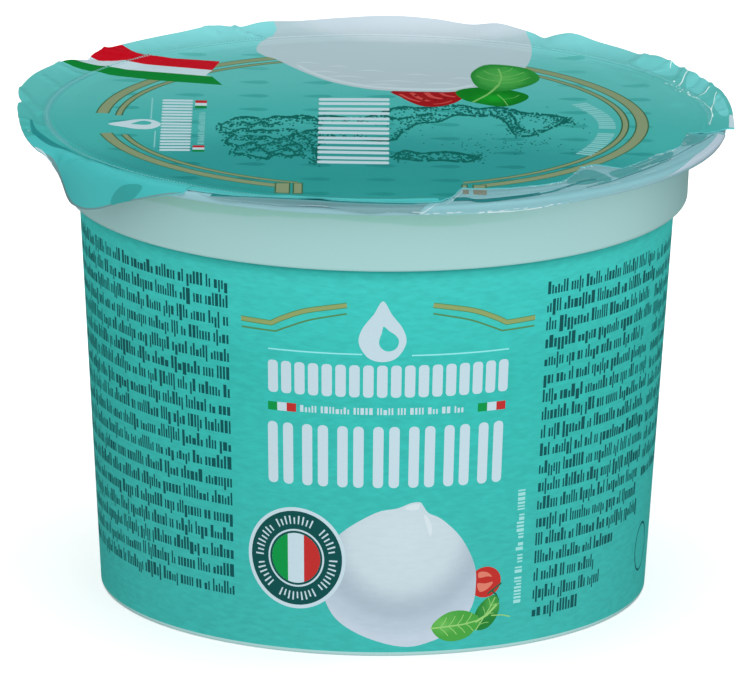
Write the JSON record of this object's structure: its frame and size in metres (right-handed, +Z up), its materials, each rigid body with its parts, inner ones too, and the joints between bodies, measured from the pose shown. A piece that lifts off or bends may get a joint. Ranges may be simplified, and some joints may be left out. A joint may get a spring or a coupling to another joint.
{
  "type": "sealed cup of burrata",
  "caption": "Round tapered dairy cup with a recessed printed label, a wide sealing flange and a peelable printed lid film, partly torn back at the front right.",
  "frame": {"origin": "middle of the flat base, where the cup stands", "axes": "+Z up along the cup's axis, -Y towards the printed front of the label, +X to the right of it"},
  "size_m": [0.0975, 0.0983, 0.0675],
  "materials": {
    "tub_plastic": "pale, slightly translucent moulded plastic with a soft sheen",
    "label_print": "turquoise printed film with a fine grain, fields of pale, gold, green and red",
    "film_print": "glossy turquoise printed lid film with a gold ring and soft wrinkles",
    "clear_film": "clear wrinkled film left on the flange where the lid film is torn back"
  },
  "bodies": {
    "root": {"tub": "tub_plastic", "label": "label_print", "lid_film": "film_print", "seal_strip": "clear_film"}
  },
  "joints": []
}
